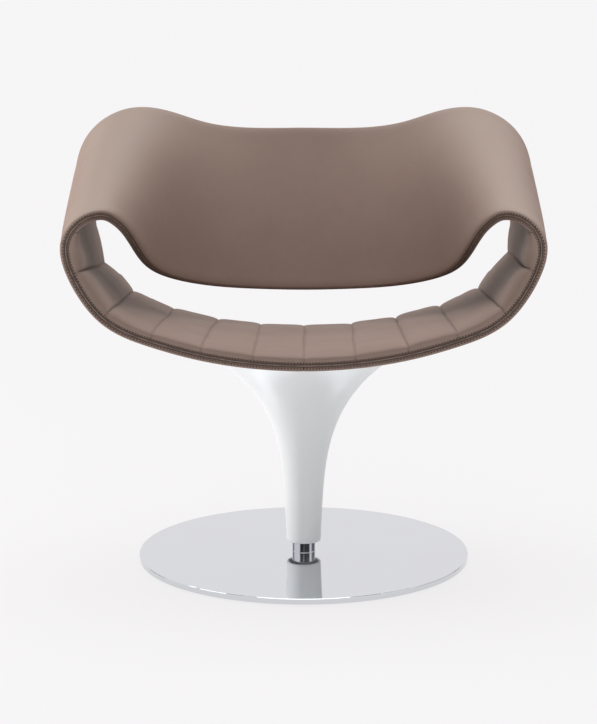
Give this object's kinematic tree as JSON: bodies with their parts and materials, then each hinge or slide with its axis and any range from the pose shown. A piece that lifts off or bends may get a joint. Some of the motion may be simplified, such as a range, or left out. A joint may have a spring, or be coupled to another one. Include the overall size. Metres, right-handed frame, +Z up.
{
  "type": "pedestal swivel armchair",
  "caption": "Low armchair whose seat, arms and back are one looped upholstered strip, turning on a flared column over a round plate.",
  "frame": {"origin": "on the floor, at the swivel axis, at the middle of the floor pad's underside", "axes": "+Z up along the swivel axis, -Y towards where the sitter faces, +X across to the chair's left arm as the sitter feels it"},
  "size_m": [0.8226, 0.5928, 0.7747],
  "materials": {
    "chrome": "mirror polished chrome plate",
    "black_rubber": "matt",
    "bright_steel": "ground",
    "dark_steel": "blackened",
    "cage_brass": "stamped",
    "carrier_paint": "satin powder coat",
    "bush_plastic": "machined",
    "column_white": "gloss white",
    "core_shell": "moulded",
    "cover_leather": "smooth taupe leather with a fine grain",
    "pad_leather": "smooth taupe leather with a fine grain",
    "piping_leather": "dark taupe leather"
  },
  "bodies": {
    "base": {"base_plate": "chrome", "floor_pad": "black_rubber", "spindle": "chrome", "spindle_bolt": "dark_steel", "dowel_pins": "bright_steel", "thrust_race_lower": "bright_steel", "retaining_washer": "bright_steel", "circlip": "dark_steel"},
    "bearing_cage": {"ball_cage": "cage_brass", "bearing_balls": "bright_steel"},
    "seat": {"thrust_race_upper": "bright_steel", "swivel_tube": "carrier_paint", "lower_bush": "bush_plastic", "upper_bush": "bush_plastic", "tube_gussets": "carrier_paint", "seat_plate": "carrier_paint", "weld_nuts": "bright_steel", "seat_bolts": "dark_steel", "column_shell": "column_white", "column_end_ring": "black_rubber", "column_spacers": "bright_steel", "column_screws": "dark_steel", "shell_core": "core_shell", "underside_cover": "cover_leather", "upper_cover": "cover_leather", "inner_cover": "cover_leather", "seat_pad": "pad_leather", "front_welt": "piping_leather", "rear_welt": "piping_leather"}
  },
  "joints": [
    {"name": "seat_swivel", "type": "hinge", "parent": "base", "child": "seat", "pos_m": [0, 0, 0.1], "axis": [0, 0, 1], "continuous": true},
    {"name": "cage_roll", "type": "hinge", "parent": "base", "child": "bearing_cage", "pos_m": [0, 0, 0.0665], "axis": [0, 0, 1], "continuous": true}
  ],
  "couplings": [
    {"joint": "cage_roll", "follows": "seat_swivel", "ratio": 0.5}
  ]
}
